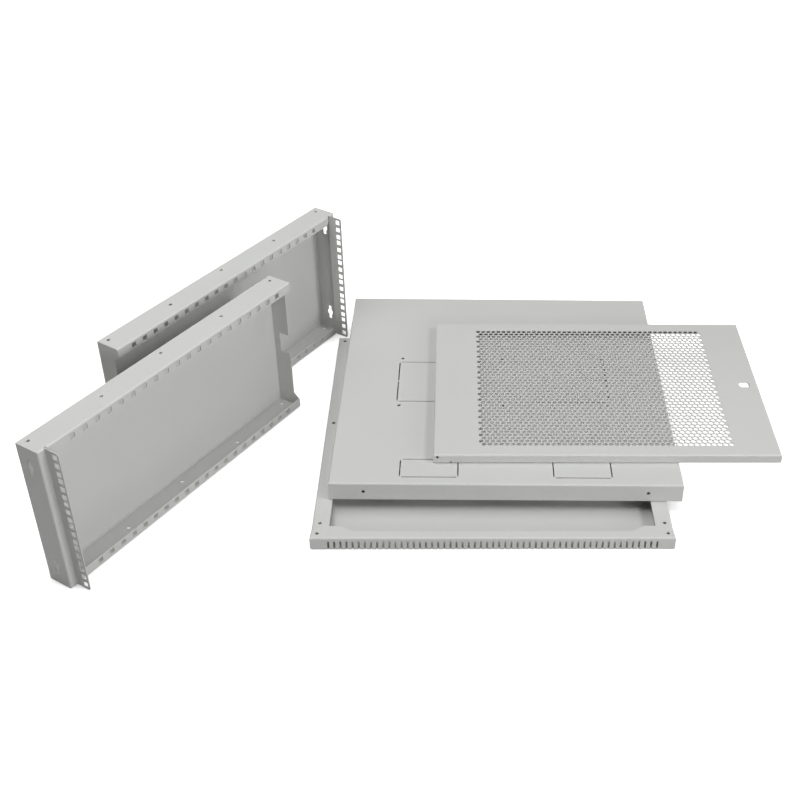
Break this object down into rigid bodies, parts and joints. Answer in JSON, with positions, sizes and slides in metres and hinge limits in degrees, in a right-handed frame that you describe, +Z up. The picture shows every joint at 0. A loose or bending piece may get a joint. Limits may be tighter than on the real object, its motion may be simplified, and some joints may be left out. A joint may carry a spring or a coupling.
{
  "type": "sheet metal chassis",
  "caption": "Knocked-down rack cabinet chassis in folded sheet steel: base tray, roof and perforated door stacked, side panels with rack rails standing beside them.",
  "frame": {"origin": "centre of the base tray's underside", "axes": "+X along the tray's slotted front to the right, +Y to the back, +Z up"},
  "size_m": [1.2049, 0.7893, 0.272],
  "materials": {
    "powder_coat": "fine-textured light grey powder coat, satin"
  },
  "bodies": {
    "root": {"base_tray": "powder_coat", "roof_panel": "powder_coat", "door_panel": "powder_coat", "side_panel_left": "powder_coat", "side_panel_right": "powder_coat"}
  },
  "joints": []
}
